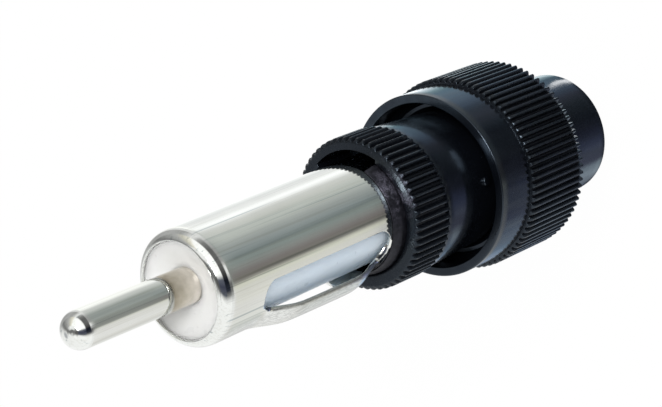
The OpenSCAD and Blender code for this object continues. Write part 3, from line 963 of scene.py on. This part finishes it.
WALLS_FOOT = (
    (-180, 1.0), (-158, 1.0), (-146, .5), (-138, .22), (-126, .16), (-114, .55), (-106, .95), (-96, .95), (-84, .38),
    (-58, .38), (-40, .55), (-20, .9), (0, .85), (24, .9), (60, .9), (76, .7), (92, .7), (112, 1.0), (180, 1.0))
WALLS_LEVEL = (
    (-180, 1.1), (-158, 1.15), (-150, .85), (-143, .25), (-135, .03, .035, .05), (-116, .01, .012, .02),
    (-106, .06), (-96, .12), (-80, .16), (-60, .14), (-44, .24), (-34, .45), (-24, .95), (-14, .7), (-4, .44),
    (20, .5), (42, .42), (56, .5), (66, .75), (78, 1.1), (180, 1.1))
WALLS_UPPER = (
    (-180, 1.1), (-158, 1.15), (-150, .8), (-143, .12, .13, .16), (-128, .06, .065, .10), (-114, .13, .14, .18),
    (-107, 1.0), (-101, 1.3), (-28, 1.25), (-19, 1.0, .96, .85), (-6, .7, .68, .6), (8, .5), (26, .36), (38, .22),
    (46, .3), (57, .8), (70, 1.05), (180, 1.1))
ROOF_SLOPE = (
    (-180, 1.15), (-163, .8), (-148, .25), (-136, .12), (-112, .12), (-98, .24), (-80, .42), (-64, 1.0), (-5, 1.1),
    (14, .8), (34, .25), (50, .2), (66, .5), (84, 1.0), (180, 1.15))
ROOF = ((-180, .4), (-150, .35), (-132, .2), (60, .18), (78, .35), (100, .6), (135, .8), (180, .4))

# The bands from the bottom up: (name, degrees of elevation between which it takes over, stops).
TENT = (
    ("Table, under", -60, -55, TABLE_UNDER), ("Table, low", -52.2, -51.2, TABLE_LOW), ("Table", -48.8, -47.0, TABLE),
    ("Table, far", -41, -39.5, TABLE_FAR), ("Walls, foot", -37, -35, WALLS_FOOT),
    ("Walls, level", -28, -22, WALLS_LEVEL), ("Walls, upper", 5, 13, WALLS_UPPER),
    ("Roof, slope", 53, 60, ROOF_SLOPE), ("Roof", 70, 78, ROOF))
TABLE_EDGE = (0.06, 0.07, 0.09, 1)


def azimuth_ramp(tree, azimuth, name, stops):
    """One band of the studio: its colour by azimuth."""
    ramp = add(tree, "ShaderNodeValToRGB")
    ramp.label = name
    band = ramp.color_ramp
    band.interpolation = "LINEAR"
    for i, (degrees, *colour) in enumerate(stops):
        element = band.elements[i] if i < 2 else band.elements.new(1.0)
        element.position = (degrees + 180) / 360
        element.color = (*(colour if len(colour) == 3 else colour * 3), 1)
    tree.links.new(azimuth, ramp.inputs["Fac"])
    return ramp.outputs["Color"]


def ease(tree, value, low, high):
    """0 below low, 1 above high, smooth between."""
    node = add(tree, "ShaderNodeMapRange", interpolation_type="SMOOTHSTEP", From_Min=low, From_Max=high)
    tree.links.new(value, node.inputs["Value"])
    return node.outputs["Result"]


def towards(azimuth, elevation):
    """The direction of an azimuth and an elevation in degrees."""
    turn, rise = math.radians(azimuth), math.radians(elevation)
    return Vector((math.cos(turn) * math.cos(rise), math.sin(turn) * math.cos(rise), math.sin(rise)))


def spot(tree, direction, azimuth, elevation, inner, outer):
    """1 round a direction of the studio, 0 outside it: angles in degrees."""
    dot = add(tree, "ShaderNodeVectorMath", operation="DOT_PRODUCT")
    feed(tree, (direction, dot.inputs[0]), (towards(azimuth, elevation), dot.inputs[1]))
    return ease(tree, dot.outputs["Value"], math.cos(math.radians(outer)), math.cos(math.radians(inner)))


def studio_world():
    """A light tent: white walls, a grey far side, a softbox over the camera's shoulder and a dark flag beside it.
    The camera sees plain white."""
    world = bpy.data.worlds.new("Light tent")
    bpy.context.scene.world = world
    world.use_nodes = True
    tree = world.node_tree
    tree.nodes.clear()
    where = add(tree, "ShaderNodeTexCoord").outputs["Generated"]
    split = add(tree, "ShaderNodeSeparateXYZ")
    tree.links.new(where, split.inputs["Vector"])
    x, y, z = split.outputs
    turn = plus(tree, math_node(tree, "DIVIDE", math_node(tree, "ARCTAN2", y, x), math.tau), 0.5)
    height = math_node(tree, "MULTIPLY", math_node(tree, "ARCSINE", z), 180 / math.pi)
    colour = TABLE_EDGE
    for name, low, high, stops in TENT:
        colour = mix(tree, ease(tree, height, low, high), colour, azimuth_ramp(tree, turn, name, stops))
    colour = mix(tree, spot(tree, where, azimuth=76, elevation=43, inner=3, outer=16), colour, (0.5, 0.51, 0.54, 1))
    tent = add(tree, "ShaderNodeBackground")
    white = add(tree, "ShaderNodeBackground", Color=(*WHITE, 1))
    rays = add(tree, "ShaderNodeLightPath")
    seen = larger(tree, rays.outputs["Is Camera Ray"], rays.outputs["Is Transmission Ray"])
    both = add(tree, "ShaderNodeMixShader")
    out = add(tree, "ShaderNodeOutputWorld")
    feed(tree, (colour, tent.inputs["Color"]), (seen, both.inputs[0]), (tent.outputs[0], both.inputs[1]),
         (white.outputs[0], both.inputs[2]), (both.outputs[0], out.inputs["Surface"]))


def white_floor(colour):
    """White table: it shows nearly pure white, with a trace of the plug's shadow."""
    material, tree, shader = new_material("White table")
    shader.inputs["Roughness"].default_value = 0.8
    tree.links.new(tint(tree, noise(tree, 30, 2), scaled(colour, 0.99), colour), shader.inputs["Base Color"])
    glow = add(tree, "ShaderNodeEmission", Color=(*WHITE, 1), Strength=1.0)
    rays = add(tree, "ShaderNodeLightPath").outputs
    seen = larger(tree, larger(tree, rays["Is Camera Ray"], rays["Is Glossy Ray"]), rays["Is Transmission Ray"])
    both = add(tree, "ShaderNodeMixShader")
    feed(tree, (times(tree, seen, 0.98), both.inputs[0]), (shader.outputs[0], both.inputs[1]),
         (glow.outputs[0], both.inputs[2]), (both.outputs[0], tree.nodes["Material Output"].inputs["Surface"]))
    return material


def glow_card(name, place, facing, width, height, colour, strength):
    """A small bright card below the table's level that only mirrors show: millimetres, facing a point."""
    place, facing = Vector(place) * MM, Vector(facing) * MM
    deselect_all()
    bpy.ops.mesh.primitive_plane_add(size=1, location=place,
                                     rotation=(facing - place).to_track_quat("Z", "Y").to_euler())
    card = bpy.context.object
    card.name = name
    card.scale = (width * MM, height * MM, 1)
    bpy.ops.object.transform_apply(location=True, rotation=True, scale=True)
    material, tree = new_material(name)[:2]
    glow = add(tree, "ShaderNodeEmission", Color=(*colour, 1), Strength=strength)
    tree.links.new(glow.outputs[0], tree.nodes["Material Output"].inputs["Surface"])
    card.data.materials.append(material)
    card.visible_camera = card.visible_diffuse = card.visible_shadow = card.visible_transmission = False


class PLUG_OT_stage(bpy.types.Operator):
    """Set the white table, the light tent, the key light and the camera"""

    bl_idname = "plug.stage"
    bl_label = "Stage"

    def execute(self, context):
        scene = context.scene
        scene.view_settings.view_transform = "Standard"
        deselect_all()
        bpy.ops.mesh.primitive_plane_add(size=1.6, location=(0, 0, FLOOR_Z * MM))
        floor = context.object
        floor.name = "table"
        floor.data.materials.append(white_floor(scene.plug_finish.floor))
        floor.visible_glossy = False
        glow_card("reflector_card", place=(7.9, -5.1, -6.2), facing=(3.0, -4.7, 0.6), width=1.6, height=3.2,
                  colour=(1.0, 0.985, 0.97), strength=5.0)
        studio_world()
        self.key_light(scene)
        self.camera(scene)
        return {"FINISHED"}

    def key_light(self, scene):
        """A small softbox to the camera's right, aimed at the plug's middle."""
        lamp = bpy.data.lights.new("Key softbox", "AREA")
        lamp.shape = "RECTANGLE"
        lamp.size = lamp.size_y = 0.16
        lamp.energy = 1.6
        key = bpy.data.objects.new("Key softbox", lamp)
        scene.collection.objects.link(key)
        aim, away = Vector((0, 0, 0.03)), 0.45
        key.location = towards(-84, 50) * away + aim
        key.rotation_euler = (key.location - aim).to_track_quat("Z", "Y").to_euler()

    def camera(self, scene):
        """The photograph's camera: right and up are the image's axes, the place is in millimetres."""
        camera = bpy.data.objects.new("Camera", bpy.data.cameras.new("Camera"))
        scene.collection.objects.link(camera)
        camera.data.sensor_fit = "HORIZONTAL"
        camera.data.sensor_width = 36.0
        camera.data.lens = 109.786
        camera.data.clip_start = 0.005
        right = Vector((-0.53157, -0.54460, -0.64873))
        up = Vector((0.82747, -0.49748, -0.26039))
        back = right.cross(up).normalized()
        up = back.cross(right).normalized()
        turn = Matrix((right.normalized(), up, back)).transposed().to_4x4()
        camera.matrix_world = Matrix.Translation(Vector((-28.473, -112.806, 150.311)) * MM) @ turn
        scene.camera = camera


# ---------------------------------------------------------------- panel

class PLUG_PT_panel(bpy.types.Panel):
    """Lists the plug's settings and pieces"""

    bl_idname = "PLUG_PT_panel"
    bl_label = "Aerial Plug"
    bl_space_type = "VIEW_3D"
    bl_region_type = "UI"
    bl_category = "Plug"

    def draw(self, context):
        for settings in (context.scene.plug_sizes, context.scene.plug_finish):
            box = self.layout.box()
            for name in settings.bl_rna.properties.keys():
                if name not in ("rna_type", "name"):
                    box.prop(settings, name)
        for operator in STEPS:
            self.layout.operator(operator.bl_idname)


STEPS = (PLUG_OT_pin, PLUG_OT_insulator, PLUG_OT_sleeve, PLUG_OT_bush, PLUG_OT_collar, PLUG_OT_cap,
         PLUG_OT_inner_parts, PLUG_OT_stage)
CLASSES = (PlugSizes, PlugFinish, *STEPS, PLUG_PT_panel)


def register():
    """Registers the classes and gives every scene the plug's settings."""
    for item in CLASSES:
        bpy.utils.register_class(item)
    bpy.types.Scene.plug_sizes = bpy.props.PointerProperty(type=PlugSizes)
    bpy.types.Scene.plug_finish = bpy.props.PointerProperty(type=PlugFinish)


def unregister():
    """Takes the settings and the classes away again."""
    del bpy.types.Scene.plug_finish
    del bpy.types.Scene.plug_sizes
    for item in reversed(CLASSES):
        bpy.utils.unregister_class(item)


def main():
    """Builds every piece and the stage."""
    register()
    bpy.ops.plug.pin()
    bpy.ops.plug.insulator()
    bpy.ops.plug.sleeve()
    bpy.ops.plug.bush()
    bpy.ops.plug.collar()
    bpy.ops.plug.cap()
    bpy.ops.plug.inner_parts()
    bpy.ops.plug.stage()


if __name__ == "__main__":
    main()
